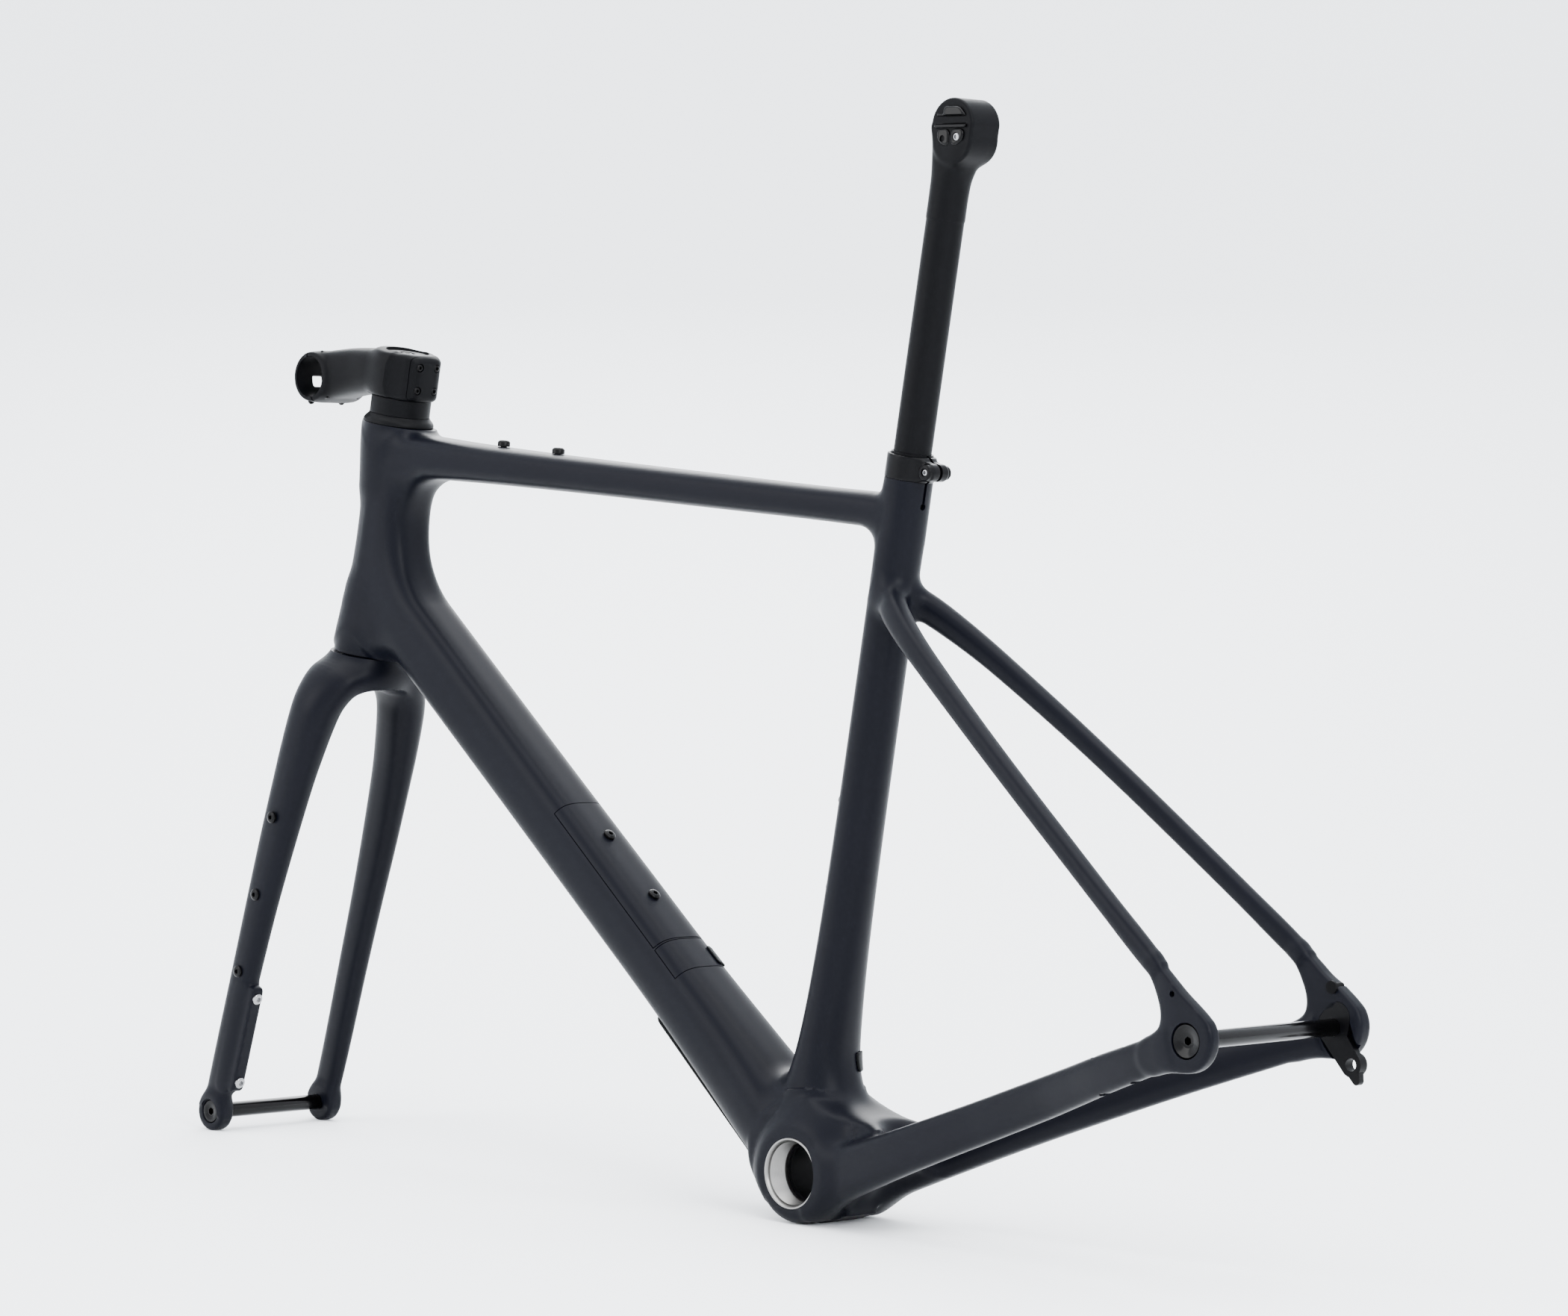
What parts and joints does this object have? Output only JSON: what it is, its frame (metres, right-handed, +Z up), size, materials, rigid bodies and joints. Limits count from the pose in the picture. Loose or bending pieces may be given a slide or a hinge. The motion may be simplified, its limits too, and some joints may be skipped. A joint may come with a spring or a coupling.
{
  "type": "bicycle frame",
  "caption": "Monocoque-style road bicycle frameset with fork, stem, seatpost, thru axles, hinged storage door in the down tube and threaded bottom bracket.",
  "frame": {"origin": "centre of the bottom bracket on the frame's mid plane", "axes": "+X forward, +Y to the rider's left along the bottom bracket, +Z up, with the frameset standing on its bottom bracket shell and both fork tips"},
  "size_m": [1.0609, 0.1678, 0.799],
  "materials": {
    "frame_paint": "satin",
    "fork_paint": "satin",
    "matt_carbon": "matte",
    "black_anodised": "satin",
    "gloss_black": "gloss",
    "machined_aluminium": "machined",
    "steel_bolt": "brushed",
    "black_bolt": "satin",
    "bearing_steel": "ground",
    "soft_black": "matte",
    "black_plastic": "matte"
  },
  "bodies": {
    "frame": {"head_tube": "frame_paint", "top_tube": "frame_paint", "down_tube": "frame_paint", "down_tube_bay": "frame_paint", "down_tube_foot": "frame_paint", "seat_tube": "frame_paint", "seatpost_sleeve": "black_plastic", "bb_shell": "frame_paint", "bb_insert_left": "machined_aluminium", "bb_insert_right": "machined_aluminium", "bb_tunnel": "black_plastic", "bb_cable_cover": "steel_bolt", "stay_yoke": "frame_paint", "chainstay_left": "frame_paint", "chainstay_right": "frame_paint", "seatstay_left": "frame_paint", "seatstay_right": "frame_paint", "dropout_left": "frame_paint", "dropout_right": "frame_paint", "derailleur_hanger": "black_anodised", "hanger_bolt": "gloss_black", "cable_grommet": "soft_black", "rear_brake_inserts": "machined_aluminium", "fd_mount_cover": "black_plastic", "down_tube_guard": "soft_black", "top_tube_bolts": "black_bolt", "seat_tube_bottle_bolts": "black_bolt", "seat_clamp_collar": "black_anodised", "seat_clamp_bolt": "steel_bolt", "seat_clamp_nut": "gloss_black", "upper_bearing_outer": "bearing_steel", "lower_bearing_outer": "bearing_steel"},
    "fork": {"upper_bearing_inner": "bearing_steel", "lower_bearing_inner": "bearing_steel", "steerer": "matt_carbon", "fork_crown": "fork_paint", "fork_leg_left": "fork_paint", "fork_leg_right": "fork_paint", "fork_tip_left": "fork_paint", "fork_tip_right": "fork_paint", "fork_mount_bolts": "black_bolt", "front_brake_bolts": "steel_bolt", "compression_ring": "black_plastic", "headset_cover": "black_anodised", "stem_spacer": "matt_carbon", "stem_body": "matt_carbon", "stem_faceplate": "matt_carbon", "faceplate_bolts": "black_bolt", "stem_rear_clamp": "matt_carbon", "stem_rear_bolts": "black_bolt", "top_cap": "black_anodised", "expander_plug": "machined_aluminium"},
    "front_axle": {"front_thru_axle": "gloss_black"},
    "rear_axle": {"rear_thru_axle": "gloss_black"},
    "seatpost": {"seatpost": "matt_carbon"},
    "saddle_clamp": {"saddle_cradle": "black_anodised", "saddle_clamp_bolt": "steel_bolt"},
    "hatch": {"storage_hatch": "frame_paint", "hatch_bolts": "black_bolt"},
    "latch": {"hatch_latch": "black_plastic"}
  },
  "joints": [
    {"name": "steering", "type": "hinge", "parent": "frame", "child": "fork", "pos_m": [0.51689, 0, 0.34725], "axis": [-0.1568, 0, 0.9876], "range_deg": [-75, 75]},
    {"name": "seatpost_height", "type": "slide", "parent": "frame", "child": "seatpost", "axis": [-0.1533, 0, 0.9882], "range_m": [-0.06, 0.03]},
    {"name": "saddle_tilt", "type": "hinge", "parent": "seatpost", "child": "saddle_clamp", "pos_m": [-0.10307, 0, 0.74293], "axis": [0, 1, 0], "range_deg": [-15, 15]},
    {"name": "rear_axle_pull", "type": "slide", "parent": "frame", "child": "rear_axle", "axis": [0, 1, 0], "range_m": [0, 0.165]},
    {"name": "front_axle_pull", "type": "slide", "parent": "fork", "child": "front_axle", "axis": [0, 1, 0], "range_m": [0, 0.125]},
    {"name": "hatch_hinge", "type": "hinge", "parent": "frame", "child": "hatch", "pos_m": [0.27354, 0, 0.25036], "axis": [0, 1, 0], "range_deg": [0, 60]},
    {"name": "latch_swing", "type": "hinge", "parent": "frame", "child": "latch", "pos_m": [0.15217, 0.0271, 0.13264], "axis": [-0.7734, 0, -0.634], "range_deg": [0, 70]}
  ]
}
